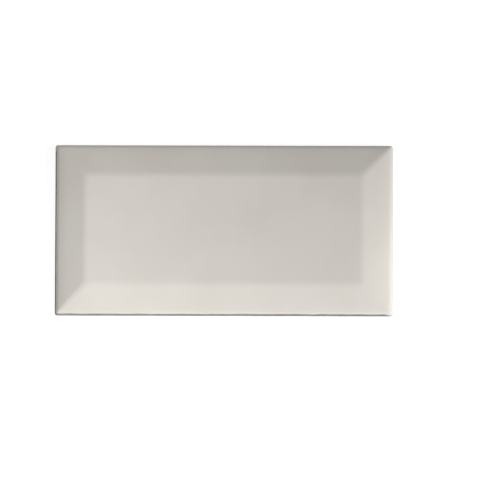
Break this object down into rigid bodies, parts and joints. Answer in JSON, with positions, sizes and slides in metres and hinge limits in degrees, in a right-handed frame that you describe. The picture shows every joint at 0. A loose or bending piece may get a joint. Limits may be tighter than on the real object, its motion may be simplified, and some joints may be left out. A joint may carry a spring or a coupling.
{
  "type": "subway wall tile",
  "caption": "Rectangular bevelled wall tile: a flat raised face framed by mitred bevels with soft edges, and a keyed back that beds in adhesive on a wall.",
  "frame": {"origin": "middle of the back, in the plane of its ribs, which is the plane that beds against the wall", "axes": "+X along the tile's length, +Y along its height on the wall, +Z out of the glazed face"},
  "size_m": [0.15, 0.076, 0.008],
  "materials": {
    "glaze": "satin"
  },
  "bodies": {
    "root": {"bevelled_tile": "glaze"}
  },
  "joints": []
}
